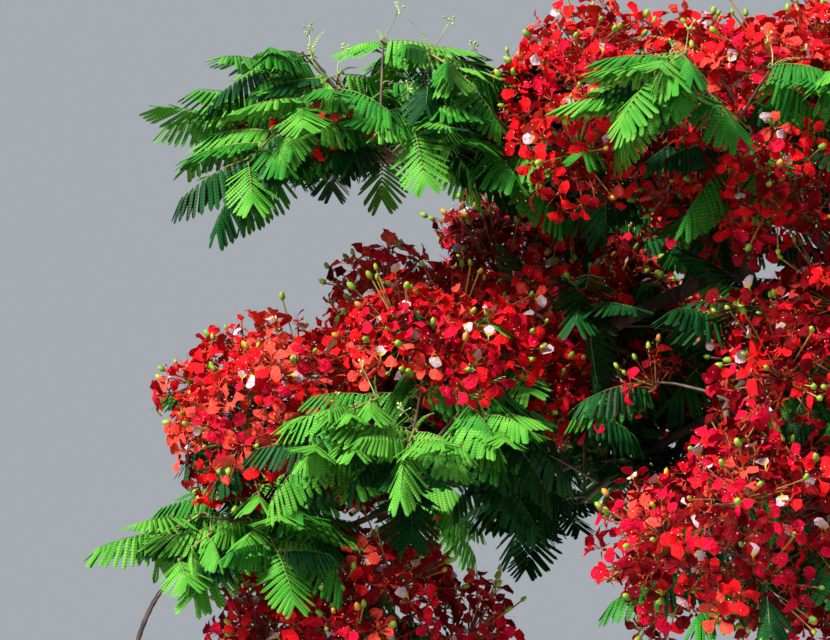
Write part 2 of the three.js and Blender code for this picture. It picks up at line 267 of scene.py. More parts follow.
def new_effect(name, inputs, outputs):
    """An empty group of shader nodes with named sockets, and the nodes at its two ends."""
    group = bpy.data.node_groups.new(name, "ShaderNodeTree")
    for way, sockets in (("INPUT", inputs), ("OUTPUT", outputs)):
        for kind, titles in sockets.items():
            for title in titles.split():
                group.interface.new_socket(title, in_out=way, socket_type="NodeSocket" + kind)
    return group, group.nodes.new("NodeGroupInput"), group.nodes.new("NodeGroupOutput")


def add_node(tree, kind, **values):
    """A shader node with these values, whose names have an underscore for each blank."""
    node = tree.nodes.new("ShaderNode" + kind)
    for title, value in values.items():
        node.inputs[title.replace("_", " ")].default_value = value
    return node


def wire(tree, *joins):
    """Joins nodes: each join names a node, its output, the next node and that one's input."""
    for node, output, next_node, socket in joins:
        tree.links.new(node.outputs[output], next_node.inputs[socket])


def mottle_effect():
    """Two tints in blotches over the surface, which can be stretched along the wood."""
    group, given, made = new_effect(
        "mottle",
        dict(Color="Light Dark", Float="Low High Scale Detail Roughness", Vector="Stretch"),
        dict(Color="Colour", Float="Height"),
    )
    place, stretch = add_node(group, "TexCoord"), add_node(group, "Mapping")
    blotches, share = add_node(group, "TexNoise"), add_node(group, "MapRange")
    tint = add_node(group, "Mix")
    tint.data_type = "RGBA"
    wire(
        group,
        (place, "Object", stretch, "Vector"),
        (given, "Stretch", stretch, "Scale"),
        (stretch, "Vector", blotches, "Vector"),
        (given, "Scale", blotches, "Scale"),
        (given, "Detail", blotches, "Detail"),
        (given, "Roughness", blotches, "Roughness"),
        (blotches, "Fac", share, "Value"),
        (given, "Low", share, "From Min"),
        (given, "High", share, "From Max"),
        (share, "Result", tint, "Factor"),
        (given, "Dark", tint, "A"),
        (given, "Light", tint, "B"),
        (tint, "Result", made, "Colour"),
        (blotches, "Fac", made, "Height"),
    )
    return group


def weather_effect():
    """Broad lighter and darker patches, as years of weather leave on old wood."""
    group, given, made = new_effect("weather", dict(Color="Tint"), dict(Color="Colour"))
    place, patches = add_node(group, "TexCoord"), add_node(group, "TexNoise", Scale=9)
    brightness = add_node(group, "MapRange", From_Min=0.3, From_Max=0.7, To_Min=0.45, To_Max=1.3)
    worn = add_node(group, "HueSaturation")
    wire(
        group,
        (place, "Object", patches, "Vector"),
        (patches, "Fac", brightness, "Value"),
        (brightness, "Result", worn, "Value"),
        (given, "Tint", worn, "Color"),
        (worn, "Color", made, "Colour"),
    )
    return group


def new_material(name, roughness, shine):
    """A plain material, to which effects are added, with its nodes and its shader."""
    material = bpy.data.materials.new(name)
    material.use_nodes = True
    shader = material.node_tree.nodes["Principled BSDF"]
    shader.inputs["Roughness"].default_value = roughness
    shader.inputs["Specular IOR Level"].default_value = shine
    return material, material.node_tree, shader


def add_effect(tree, effect, **values):
    """The effect as one node of a material, with the material's own values."""
    node = tree.nodes.new("ShaderNodeGroup")
    node.node_tree = effect
    for title, value in values.items():
        node.inputs[title].default_value = value
    return node


mottle, weather = mottle_effect(), weather_effect()
TINTS_BLEND_OVER = 0.26


def add_tints(tree, light, dark, low, scale, detail, roughness=0.5, stretch=(1, 1, 1)):
    """A material's two tints, mottled: dark where the blotches' noise is below low."""
    return add_effect(
        tree,
        mottle,
        Light=(*light, 1),
        Dark=(*dark, 1),
        Low=low,
        High=low + TINTS_BLEND_OVER,
        Scale=scale,
        Detail=detail,
        Roughness=roughness,
        Stretch=stretch,
    )


def add_relief(tree, effect, strength, distance):
    """Raises and lowers the surface by the height that an effect puts out."""
    relief = add_node(tree, "Bump", Strength=strength, Distance=distance)
    shader = tree.nodes["Principled BSDF"]
    wire(tree, (effect, "Height", relief, "Height"), (relief, "Normal", shader, "Normal"))


def bark_material(name, light, dark, crack_scale):
    """Plates of bark between cracks along the wood, lighter and darker in patches."""
    material, tree, shader = new_material(name, roughness=0.85, shine=0.25)
    cracks = add_tints(tree, light, dark, 0.36, crack_scale, 7, 0.65, stretch=(1, 1, 0.22))
    patches = add_effect(tree, weather)
    wire(tree, (cracks, "Colour", patches, "Tint"), (patches, "Colour", shader, "Base Color"))
    add_relief(tree, cracks, strength=0.5, distance=0.004)
    return material


def give(piece, material, nodes):
    """Finishes a piece: its material, the body it rides on and the solids it stands for."""
    piece.data.materials.clear()
    piece.data.materials.append(material)
    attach(piece, "root")
    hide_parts(*nodes)


old_wood = [n for n in limbs if n.split("_")[0] in ("trunk", "limb", "fork", "leader")]
young_wood = [n for n in limbs if n not in old_wood]
trunk = union_of_tubes("trunk_and_forks", old_wood, grain=0.0075)
bark_relief(trunk.data, cracks=0.0022, rings=0.0006)
level_the_foot(trunk.data)
bpy.ops.object.shade_smooth()
old_bark = bark_material("old_bark", (0.24, 0.19, 0.145), (0.07, 0.052, 0.04), 38)
give(trunk, old_bark, old_wood)
boughs = union_of_tubes("boughs", young_wood, grain=0.0054)
bark_relief(boughs.data, cracks=0.0009, rings=0.0004)
bpy.ops.object.shade_smooth()
young_bark = bark_material("young_bark", (0.15, 0.105, 0.075), (0.045, 0.032, 0.026), 70)
give(boughs, young_bark, young_wood)

# Stems and twigs
# Each mass of blossom or leaves has one stem, which goes on from its bough's tip. Twigs spread
# from it to places that a golden spiral deals out, each to one truss of flowers or one leaf.
# The solids hold the thickest twigs, and finer ones fill in between them.
TRUSS_RADIUS, LEAF_LENGTH, TWIG_RADIUS, ARCH = 160, 280, 4.5, 0.26
TRUSSES, LEAVES, TRIES = 7, 4, 12
GOLDEN_ANGLE = math.pi * (3 - math.sqrt(5))


def seeded(seed):
    """Numbers from 0 to 1 that are the same on every run."""
    state = seed & 0xFFFFFFFF

    def draw():
        nonlocal state
        state = (1664525 * state + 1013904223) & 0xFFFFFFFF
        return state / 4294967296

    return draw


masses = {}


def mass(name, limb_name, centre, half, wanted=None):
    """Adds a mass of blossom or leaves on a limb, with the half widths of its space."""
    limb = limbs[limb_name]
    leafy = name.startswith("leaves")
    siblings = sum(m["limb"] == limb_name for m in masses.values())
    centre, half = np.array(centre, float), np.array(half, float)
    heart = centre - UP * 0.4 * half[2]
    tip = limb["controls"][-1]
    along = unit(tip - limb["controls"][-2])
    start = tip - along * siblings * 1.5 * limb["tip"]
    masses[name] = dict(
        name=name,
        leafy=leafy,
        limb=limb_name,
        centre=centre,
        half=half,
        heart=heart,
        count=wanted or (LEAVES if leafy else TRUSSES),
        seed=1000 * (len(masses) + 1),
        trusses=[],
        leaves=[],
        stem=[start, (start + heart) / 2 + along * 30, heart],
        stem_radii=(limb["tip"] * 0.8, TWIG_RADIUS * 1.7),
    )


mass("leaves_high_left", "bough_high_left", (-1310, -430, 2870), (470, 300, 235), 12)
mass("blossom_crown_left", "fork_left", (-790, -430, 2880), (290, 280, 215), 12)
mass("blossom_crown_front", "fork_front", (-470, -560, 2820), (325, 300, 260), 12)
mass("leaves_crown_front", "fork_left", (-610, -870, 2900), (320, 190, 100), 5)
mass("blossom_front", "fork_front", (-320, -790, 2360), (250, 260, 230), 9)
mass("blossom_left", "bough_low_left", (-1110, -430, 2345), (275, 260, 185), 12)
mass("blossom_left_tip", "bough_low_left", (-1460, -420, 2235), (265, 255, 200), 10)
mass("leaves_left", "bough_weeping_left", (-1215, -690, 2215), (285, 235, 135), 7)
mass("leaves_low_left", "bough_weeping_left", (-1570, -490, 1985), (235, 245, 130), 8)
mass("blossom_low_left", "bough_weeping_left", (-1320, -410, 1785), (275, 265, 250), 10)
mass("blossom_low_front", "bough_weeping_front", (-495, -830, 1990), (320, 300, 250), 10)
mass("blossom_inner_high", "fork_inner", (-900, 60, 2520), (270, 260, 180))
mass("blossom_inner_back", "fork_inner", (-600, 240, 2310), (270, 260, 200), 7)
mass("leaves_inner", "fork_inner", (-850, -120, 2090), (280, 250, 190), 5)
mass("blossom_top", "leader", (110, 20, 2950), (310, 300, 190))
mass("blossom_top_left", "leader", (-400, 0, 2915), (290, 280, 180))
for index, (side, _, azimuth, lift) in enumerate(SIDES):
    fork, high, low = "fork_" + side, "bough_high_" + side, "bough_low_" + side
    mass("blossom_crown_" + side, fork, around(azimuth, 610, 2850 + lift), (300, 300, 205))
    mass("blossom_high_" + side, high, around(azimuth - 14, 1160, 2730 + lift), (320, 320, 205))
    if index % 2 == 0:
        mass("leaves_high_" + side, high, around(azimuth + 14, 1300, 2620 + lift), (330, 330, 170))
    mass("blossom_low_" + side, low, around(azimuth + 7, 1440, 2180 + lift), (330, 330, 235))
    mass("leaves_low_" + side, low, around(azimuth + 33, 1390, 2020 + lift), (330, 330, 165))


def point_on(controls, t):
    """The point at share t of a curve with three control points."""
    a, b, c = controls
    return (1 - t) ** 2 * a + 2 * t * (1 - t) * b + t * t * c


def way_at(level, turn):
    """The way out from a centre that rises to level, from -1 to 1, on this turn round it."""
    ring = math.sqrt(1 - level * level)
    return np.array([math.cos(turn) * ring, math.sin(turn) * ring, level])


def axes_at(along, wished):
    """Axes at a place: u along, out as near as it can be to the wished way, and w across."""
    u = unit(along)
    out = unit(wished - u * np.dot(wished, u))
    return u, out, np.cross(u, out)


def truss_axes(way):
    """The axes of a truss on a twig that goes this way: it turns up towards the light."""
    return axes_at(np.array([-way[1], way[0], 0.15]), way + UP * 0.45)


HIGHEST_LEVEL, LOWEST_LEVEL = 0.99, -0.9
LAST_TRUSS_LEVEL, LAST_LEAF_LEVEL, STRAY_PER_TRY = -0.7, -0.5, 0.12
REACH, REACH_SPREAD, LEAFY_SPREAD = 0.74, 0.15, np.array([0.6, 0.6, 1])


def shoot_of(m, index, attempt):
    """A twig of the mass: where it starts and ends, and the numbers left for what it bears."""
    random = seeded(m["seed"] + 20 * index + attempt)
    last = LAST_LEAF_LEVEL if m["leafy"] else LAST_TRUSS_LEVEL
    stray = STRAY_PER_TRY * attempt
    share = (index + 0.5) / m["count"]
    level = 1 - share * (1 - last) + stray * (random() - 0.5)
    level = min(HIGHEST_LEVEL, max(LOWEST_LEVEL, level))
    way = way_at(level, index * GOLDEN_ANGLE + m["seed"] + 3 * stray * (random() - 0.5))
    reach = REACH + (REACH_SPREAD + 0.5 * stray) * (random() - 0.4)
    spread = LEAFY_SPREAD if m["leafy"] else np.ones(3)
    end = m["centre"] + way * m["half"] * spread * reach
    start = point_on(m["stem"], 0.5 + 0.45 * random())
    bend = (start + end) / 2 + UP * (10 + 30 * random())
    return dict(way=way, end=end, twig=[start, bend, end], random=random)


CORNER_TURNS = [math.pi * (1 - 0.4 * k) for k in range(5)]
RAISED, SUNK, RIM_SUNK, FACE_TURN = 0.22, -0.3, -0.08, math.pi / 5


def truss_of(shoot):
    """The place, axes and radius of a truss: a low dome round its raised middle."""
    u, out, w = truss_axes(shoot["way"])
    size = TRUSS_RADIUS * (0.92 + 0.16 * shoot["random"]())
    centre = shoot["end"] - 0.4 * size * (u * math.cos(FACE_TURN) + w * math.sin(FACE_TURN))
    rim = [u * math.cos(a) + w * math.sin(a) + out * RIM_SUNK for a in CORNER_TURNS]
    corners = centre + size * np.vstack([out * RAISED, out * SUNK, *rim])
    return dict(middle=centre, u=u, out=out, w=w, size=size, corners=corners)


LEAF_CORNERS = [(1, 0), (0.5, 0.016), (0.5, -0.016), (0, 0)]


def leaf_of(shoot):
    """The foot, axes and length of a leaf that droops towards its tip."""
    way, random = shoot["way"], shoot["random"]
    turn = math.atan2(way[1], way[0]) + 0.7 * (random() - 0.5)
    u, out, w = axes_at(np.array([math.cos(turn), math.sin(turn), -0.15 - 0.5 * random()]), UP)
    size = LEAF_LENGTH * (0.85 + 0.2 * random())
    foot = shoot["end"]
    corners = [foot + size * (u * (a - 0.05) + out * (rise - ARCH * a * a)) for a, rise in LEAF_CORNERS]
    return dict(foot=foot, u=u, out=out, w=w, size=size, corners=np.array(corners))


# A try of the rule counts where the mass's solid has a corner at the place it leads to.
SAME_PLACE = 0.5
for m in masses.values():
    corners = numbers_of(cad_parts[m["name"]].data.vertices, "co") / MM
    for index in range(m["count"]):
        for attempt in range(TRIES):
            shoot = shoot_of(m, index, attempt)
            borne = leaf_of(shoot) if m["leafy"] else truss_of(shoot)
            gaps = np.linalg.norm(corners[:, None] - borne["corners"][None], axis=2)
            if gaps.min() < SAME_PLACE:
                m["leaves" if m["leafy"] else "trusses"].append({**shoot, **borne})
                break

wood_points, wood_radii = [], []
for limb in limbs.values():
    points, t = along_curve(limb["controls"], 20)
    wood_points.append(points)
    wood_radii.append(limb["base"] + (limb["tip"] - limb["base"]) * t)
wood_points, wood_radii = np.vstack(wood_points), np.concatenate(wood_radii)


def depth_in(m, place):
    """0 at a mass's centre and 1 at the edge of its space."""
    return np.linalg.norm((place - m["centre"]) / m["half"])


def is_own(m, place):
    """True if no other mass has the place deeper in its space."""
    depth = depth_in(m, place)
    return all(other is m or depth_in(other, place) > depth for other in masses.values())


def is_clear(places, room):
    """True if no place comes nearer to a limb's skin than room."""
    gaps = np.linalg.norm(wood_points[:, None] - np.asarray(places)[None], axis=2) - wood_radii[:, None]
    return gaps.min() > room


def raised(start, end, rise=20):
    """The controls of a twig that is raised in its middle."""
    return [start, (start + end) / 2 + UP * rise, end]


# Smaller trusses fill in between those of the solids, on finer twigs of the same stems. A few
# stand deeper in the mass, and a few open among the leaves of the high masses.
FINE_TRUSS, FINE_TRUSSES, TRUSSES_AMONG_LEAVES = 100, 36, 4
FINE_TRUSS_GAP, FINE_TRUSS_ROOM, SIZE_AMONG_LEAVES = 0.85, 25, 0.62
for m in masses.values():
    random = seeded(m["seed"] + 555)
    fine_trusses = FINE_TRUSSES
    if m["leafy"]:
        fine_trusses = TRUSSES_AMONG_LEAVES if "high" in m["name"] else 0
    for index in range(fine_trusses):
        level, inward, scale = 1 - (index + 0.5) / FINE_TRUSSES * 1.75, 0.58, 1
        if m["leafy"]:
            level, inward, scale = -0.1 - 0.15 * index, 0.3, SIZE_AMONG_LEAVES
        way = way_at(level, index * GOLDEN_ANGLE + m["seed"] + 1.1)
        end = m["centre"] + way * m["half"] * (inward + 0.42 * random())
        size = FINE_TRUSS * (0.8 + 0.35 * random()) * scale
        gaps = [np.linalg.norm(other["middle"] - end) / other["size"] for other in m["trusses"]]
        crowded = min(gaps, default=9) < FINE_TRUSS_GAP
        if crowded or not is_own(m, end) or not is_clear([end], FINE_TRUSS_ROOM):
            continue
        twig = raised(point_on(m["stem"], 0.45 + 0.5 * random()), end)
        u, out, w = truss_axes(way)
        m["trusses"].append(dict(way=way, twig=twig, middle=end, u=u, out=out, w=w, size=size))

# Side twigs stand on the limbs all the way along, and fill the shaded inside of the crown.
SIDE_TWIGS = 8
side_twigs = []
for number, (name, limb) in enumerate(limbs.items()):
    if name.split("_")[0] not in ("fork", "bough", "leader"):
        continue
    random = seeded(31000 + 50 * number)
    for step in range(SIDE_TWIGS):
        start = point_on(limb["controls"], 0.22 + 0.76 * (step + random()) / SIDE_TWIGS)
        turn = step * GOLDEN_ANGLE + number
        way = unit(np.array([math.cos(turn), math.sin(turn), 0.9 * random() - 0.15]))
        end = start + way * (90 + 130 * random())
        twig = dict(way=way, twig=raised(start, end), end=end)
        if step % 2:
            u, out, w = truss_axes(way)
            twig.update(middle=end, u=u, out=out, w=w, size=62 + 30 * random())
        side_twigs.append(twig)

tube_parts = {}


def add_tube(kind, points, radii, sides=4):
    """Adds a thin round tube along the points, in millimetres, to the piece of that kind."""
    points, radii = np.asarray(points, float), np.asarray(radii, float)
    ahead = np.gradient(points, axis=0)
    ahead /= np.linalg.norm(ahead, axis=1)[:, None] + 1e-9
    helper = np.where(np.abs(ahead[:, 2:3]) < 0.9, [[0, 0, 1.0]], [[1.0, 0, 0]])
    side = np.cross(ahead, helper)
    side /= np.linalg.norm(side, axis=1)[:, None] + 1e-9
    across = np.cross(ahead, side)
    angle = np.arange(sides) * 2 * math.pi / sides
    ring = np.cos(angle)[None, :, None] * side[:, None] + np.sin(angle)[None, :, None] * across[:, None]
    corners = points[:, None] + ring * radii[:, None, None]
    rings, corner = np.meshgrid(np.arange(len(points) - 1), np.arange(sides), indexing="ij")
    a = rings * sides + corner
    b = rings * sides + (corner + 1) % sides
    sheets = np.stack([np.stack([a, b, a + sides], -1), np.stack([b, b + sides, a + sides], -1)], 2)
    tube_parts.setdefault(kind, []).append((corners.reshape(-1, 3), sheets.reshape(-1, 3)))


def bunched(parts):
    """Several parts as one. A part is its corners, its triangles and, if it has one, its UV."""
    offsets = np.cumsum([0] + [len(part[0]) for part in parts[:-1]])
    triangles = np.vstack([part[1] + offset for part, offset in zip(parts, offsets)])
    corners, _, *uv = zip(*parts)
    return np.vstack(corners), triangles, *map(np.vstack, uv)


def joined_piece(name, parts, material, nodes, smooth=True):
    """One mesh of many parts, whose corners are in millimetres."""
    corners, triangles, *uv = bunched(parts)
    mesh = bpy.data.meshes.new(name)
    mesh.vertices.add(len(corners))
    mesh.vertices.foreach_set("co", (corners * MM).astype(np.float32).ravel())
    mesh.loops.add(triangles.size)
    mesh.loops.foreach_set("vertex_index", triangles.astype(np.int32).ravel())
    mesh.polygons.add(len(triangles))
    mesh.polygons.foreach_set("loop_start", np.arange(0, triangles.size, 3, dtype=np.int32))
    mesh.polygons.foreach_set("use_smooth", np.full(len(triangles), smooth))
    mesh.update(calc_edges=True)
    if uv:
        layer = mesh.uv_layers.new(name="along_and_across")
        layer.data.foreach_set("uv", uv[0][triangles.ravel()].astype(np.float32).ravel())
    piece = bpy.data.objects.new(name, mesh)
    scene.collection.objects.link(piece)
    give(piece, material, nodes)


def young_skin(name, light, dark):
    """The thin skin of a young twig, a stalk, a rib, a bud or a pod, mottled all over."""
    material, tree, shader = new_material(name, roughness=0.6, shine=0.5)
    tints = add_tints(tree, light, dark, low=0.38, scale=26, detail=4)
    wire(tree, (tints, "Colour", shader, "Base Color"))
    return material


foliage = list(masses)
for m in masses.values():
    points, t = along_curve(m["stem"], 7)
    first, last = m["stem_radii"]
    add_tube("stem", points, first + (last - first) * t, 7)
    ends = [(s["twig"], s["foot"]) for s in m["leaves"]]
    ends += [(s["twig"], s["middle"] - s["out"] * s["size"] * 0.3) for s in m["trusses"]]
    for (start, bend, _), end in ends:
        points, t = along_curve([start, bend - UP * 12, end], 5)
        add_tube("stem", points, TWIG_RADIUS * (1 - 0.45 * t), 5)
for twig in side_twigs:
    points, t = along_curve(twig["twig"], 4)
    add_tube("side_twig", points, 3.8 - 1.8 * t)
twig_bark = young_skin("twig_bark", (0.17, 0.12, 0.06), (0.06, 0.04, 0.03))
joined_piece("stems_and_twigs", tube_parts["stem"], twig_bark, foliage)
joined_piece("side_twigs", tube_parts["side_twig"], twig_bark, young_wood)

# Flowers
# Each has five narrow sepals, four scarlet petals with a thin claw and a round crinkled blade, one
# upright petal that is often white with a yellow claw, and long red stamens with pale anthers.
# Up to 33 are open together in a cluster, on stalks that rise from one point.
CLAW, BLADE, BLADE_HALF = 19, 25, 13.6
FLOWERS_PER_SQUARE_METRE, FLOWER_MODELS, WHITE_SHARE = 350, 14, 0.25
PETAL_ROWS = ((0.43, 0.14), (0.57, 0.76), (0.79, 1.0), (0.97, 0.60))
RIM_CRINKLE, CRINKLE, TIP_POINT = 2.2, 8, 3


def strip(first, rows):
    """Triangles between rows of three corners, counted from the first corner."""
    triangles = []
    for row in range(rows - 1):
        for column in range(2):
            a = first + row * 3 + column
            triangles += [(a, a + 3, a + 4), (a, a + 4, a + 1)]
    return triangles


def petal(lift, random):
    """Corners, triangles and UV of one petal that points along +X and rises by lift degrees."""
    long, twist = 0.86 + 0.26 * random(), 1.5 * (random() - 0.5)
    fold, curl = 0.9 * (random() - 0.5), math.radians(10 + 75 * random())
    corners, uv = [(0, 0, 0)], [(0.5, 0)]
    for row, (share, wide) in enumerate(PETAL_ROWS):
        turn = twist * min(1, share / 0.5)
        pitch = math.radians(lift) - curl * max(0, share - 0.4) ** 1.3
        for side in (-1, 0, 1):
            x = share * long * (CLAW + BLADE) + (TIP_POINT if side == 0 and share > 0.9 else 0)
            y = side * wide * BLADE_HALF
            crinkle = RIM_CRINKLE * abs(side) * (-1) ** row + CRINKLE * (random() - 0.5)
            z = fold * abs(y) + wide * crinkle
            y, z = y * math.cos(turn) - z * math.sin(turn), y * math.sin(turn) + z * math.cos(turn)
            x, z = x * math.cos(pitch) - z * math.sin(pitch), x * math.sin(pitch) + z * math.cos(pitch)
            corners.append((x, y, z))
            uv.append((0.5 + 0.5 * side * wide, share))
    triangles = [(0, 1, 2), (0, 2, 3)] + strip(1, len(PETAL_ROWS))
    return np.array(corners), np.array(triangles), np.array(uv)


def spun(part, degrees):
    """The part turned about the flower's axis."""
    corners, triangles, uv = part
    c, s = math.cos(math.radians(degrees)), math.sin(math.radians(degrees))
    return corners @ np.array([[c, s, 0], [-s, c, 0], [0, 0, 1]]), triangles, uv


ONE_TRIANGLE = np.array([(0, 1, 2)])


def sepal(droop):
    """A narrow pointed sepal, more or less folded back under the petals."""
    a = math.radians(droop)
    foot = -3 * math.tan(a)
    corners = [(6, -4.2, foot), (25 * math.cos(a), 0, -27 * math.sin(a)), (6, 4.2, foot)]
    return np.array(corners), ONE_TRIANGLE, np.array([(0, 0.6), (0.5, 1), (1, 0.6)])


def stamen(lift, length):
    """A thin stamen that tapers upwards, and the small oblong anther across its tip."""
    a = math.radians(lift)
    tip = np.array([0.88 * length * math.cos(a), 0, length * math.sin(a)])
    across = np.array([0, 1.1, 0])
    stalk = np.array([-across, across, tip]), ONE_TRIANGLE, np.array([(0, 0.2), (1, 0.2), (0.5, 1)])
    anther = tip + np.array([(-2.0, 0, 0.8), (1.2, -1.3, 0), (1.2, 1.3, 0)])
    return stalk, (anther, ONE_TRIANGLE, np.zeros((3, 2)))


def flower(seed, petals_left):
    """One flower with this many red petals, with its kinds of part apart."""
    random = seeded(seed)
    petals = [spun(petal(8 + 66 * random(), random), 90 + 72 * k + 24 * (random() - 0.5))
              for k in range(1, 1 + petals_left)]
    stamens = [stamen(48 + 34 * random(), 34 + 14 * random()) for _ in range(4)]
    turns = [k * 90 + 40 * random() for k in range(4)]
    return dict(
        petal=bunched(petals),
        standard=spun(petal(48 + 20 * random(), random), 90),
        sepal=bunched([spun(sepal(8 + 20 * random()), 36 + 72 * k) for k in range(5)]),
        stamen=bunched([spun(stalk, turn) for (stalk, _), turn in zip(stamens, turns)]),
        anther=bunched([spun(anther, turn) for (_, anther), turn in zip(stamens, turns)]),
    )


flower_models = [flower(77 + 31 * k, 4 if k % 5 else 2) for k in range(FLOWER_MODELS)]
planted = {}
MOST_TRIANGLES = 190000


def plant(kind, part, matrix, origin):
    """Adds one copy of a part to the piece of that kind, turned by the matrix's rows."""
    planted.setdefault(kind, []).append((part[0] @ matrix + origin, *part[1:]))


def planted_piece(name, kind, material, nodes, smooth=True):
    """All copies of one kind as one piece, or as several if they are too many for one."""
    batches, faces = [[]], 0
    for part in planted[kind]:
        if faces + len(part[1]) > MOST_TRIANGLES:
            batches.append([])
            faces = 0
        batches[-1].append(part)
        faces += len(part[1])
    for number, batch in enumerate(batches, 1):
        title = name if len(batches) == 1 else f"{name}_{number}"
        joined_piece(title, batch, material, nodes, smooth)


REDS = {
    # The orange red is partly the petals' own salmon and partly a painted highlight on those that catch
    # the light.
    "salmon_and_lit": ((0.80, 0.080, 0.052), (0.72, 0.034, 0.022)),
    "scarlet": ((0.82, 0.009, 0.014), (0.60, 0.003, 0.008)),
    "crimson": ((0.68, 0.004, 0.036), (0.44, 0.002, 0.014)),
    # The deep red is a painted shade, for flowers inside and under the crown.
    "shade_red": ((0.20, 0.001, 0.004), (0.08, 0.0005, 0.002)),
}
# Shares of the four reds, by mass: masses where the crown is lit get more orange, a painted light, and
# masses that lie in shadow, or inside the crown, get more deep red, a painted shade.
COMMON_SHARES, SHADED_SHARES = (0.14, 0.54, 0.22, 0.10), (0.0, 0.06, 0.20, 0.74)
SHARES = {
    "blossom_left_tip": (0.32, 0.50, 0.16, 0.02),
    "blossom_left": (0.18, 0.56, 0.20, 0.06),
    "blossom_front": (0.02, 0.28, 0.30, 0.40),
    "blossom_low_front": (0.02, 0.28, 0.30, 0.40),
    "blossom_low_left": (0.03, 0.30, 0.32, 0.35),
    "leaves_high_left": (0.60, 0.30, 0.10, 0.0),
    "blossom_inner_high": SHADED_SHARES,
    "blossom_inner_back": SHADED_SHARES,
    "inside": SHADED_SHARES,
}


def shade_for(where, out, random):
    """The red of a flower, dealt out by the mass that it grows in and by the way it faces:
    flowers that face the sky draw the lighter reds, a painted light, and those that hang the deep red, a
    painted shade."""
    draw = random() + 0.22 * (0.3 - out[2])
    total = 0
    for shade, share in zip(REDS, SHARES.get(where, COMMON_SHARES)):
        total += share
        if draw < total:
            return shade
    return "shade_red"


def standing(out, spin, scale):
    """Rows of the matrix that stands a flower or a bud up along out."""
    helper = UP if abs(out[2]) < 0.95 else np.array([1.0, 0, 0])
    side = unit(np.cross(helper, out))
    x = side * math.cos(spin) + np.cross(out, side) * math.sin(spin)
    return np.array([x, np.cross(out, x), out]) * scale


def bloom(where, place, out, root, random):
    """One flower at a place, facing out, on a stalk from the truss's root."""
    model = flower_models[int(random() * FLOWER_MODELS)]
    matrix = standing(out, random() * 2 * math.pi, 0.82 + 0.3 * random())
    shade = shade_for(where, out, random)
    plant("petal_" + shade, model["petal"], matrix, place)
    white = random() < WHITE_SHARE and out[2] > 0
    plant("standard" if white else "petal_" + shade, model["standard"], matrix, place)
    for kind in ("sepal", "stamen", "anther"):
        plant(kind, model[kind], matrix, place)
    add_tube("stalk", [root, place], [1.6, 2.2], 3)


def open_truss(where, truss, seed):
    """The flowers of one truss, spread by a golden spiral over its ragged dome."""
    random = seeded(seed)
    area = math.pi * (truss["size"] * MM) ** 2
    count = max(5, round(area * FLOWERS_PER_SQUARE_METRE))
    root = truss["middle"] - truss["out"] * truss["size"] * 0.3
    for k in range(count):
        ring = 0.82 * math.sqrt((k + 0.2 + 0.6 * random()) / count)
        turn = k * GOLDEN_ANGLE + seed
        flat = truss["u"] * math.cos(turn) + truss["w"] * math.sin(turn)
        dome = 0.14 - 0.32 * ring * ring + 0.42 * (random() - 0.5)
        place = truss["middle"] + truss["size"] * (flat * ring + truss["out"] * dome)
        tilt = ring + 0.6 * (random() - 0.3)
        wobble = np.array([random() - 0.5, random() - 0.5, random() - 0.5]) * 1.3
        out = unit(truss["out"] * math.cos(tilt) + flat * math.sin(tilt) + wobble + UP * 0.15)
        bloom(where, place, out, root, random)


every_truss = [(m["name"], t) for m in masses.values() for t in m["trusses"]]
every_truss += [("inside", t) for t in side_twigs if "middle" in t]
for number, (where, truss) in enumerate(every_truss):
    open_truss(where, truss, 40000 + 61 * number)


def petal_effect():
    """A petal's paler claw, its crinkles and the fine veins along it."""
    group, given, made = new_effect(
        "petal",
        dict(Color="Tint Claw", Float="ClawStart ClawEnd"),
        dict(Color="Colour", Float="Height"),
    )
    place, split = add_node(group, "TexCoord"), add_node(group, "SeparateXYZ")
    toward_claw = add_node(group, "MapRange", To_Min=1, To_Max=0)
    paler = add_node(group, "Mix")
    paler.data_type = "RGBA"
    veins = add_node(group, "TexWave", Scale=3.2, Distortion=1.5)
    veins.bands_direction = "X"
    crinkles = add_node(group, "TexNoise", Scale=130, Detail=1)
    folds = add_node(group, "Math")
    folds.operation = "MULTIPLY_ADD"
    folds.inputs[1].default_value = 0.12
    wire(
        group,
        (place, "UV", split, "Vector"),
        (split, "Y", toward_claw, "Value"),
        (given, "ClawStart", toward_claw, "From Min"),
        (given, "ClawEnd", toward_claw, "From Max"),
        (toward_claw, "Result", paler, "Factor"),
        (given, "Tint", paler, "A"),
        (given, "Claw", paler, "B"),
        (paler, "Result", made, "Colour"),
        (place, "UV", veins, "Vector"),
        (place, "Object", crinkles, "Vector"),
        (veins, "Fac", folds, 0),
        (crinkles, "Fac", folds, 2),
        (folds, "Value", made, "Height"),
    )
    return group


petal_look = petal_effect()
CLAW_FADE = 0.22


def petal_material(name, light, dark, claw, claw_share=0.52):
    """A petal: mottled between two tints, paler at its claw, crinkled and finely veined."""
    material, tree, shader = new_material(name, roughness=0.5, shine=0.06)
    tints = add_tints(tree, light, dark, low=0.34, scale=48, detail=4, roughness=0.68)
    claws = dict(Claw=(*claw, 1), ClawStart=claw_share - CLAW_FADE, ClawEnd=claw_share)
    look = add_effect(tree, petal_look, **claws)
    wire(tree, (tints, "Colour", look, "Tint"), (look, "Colour", shader, "Base Color"))
    add_relief(tree, look, strength=0.8, distance=0.006)
    return material


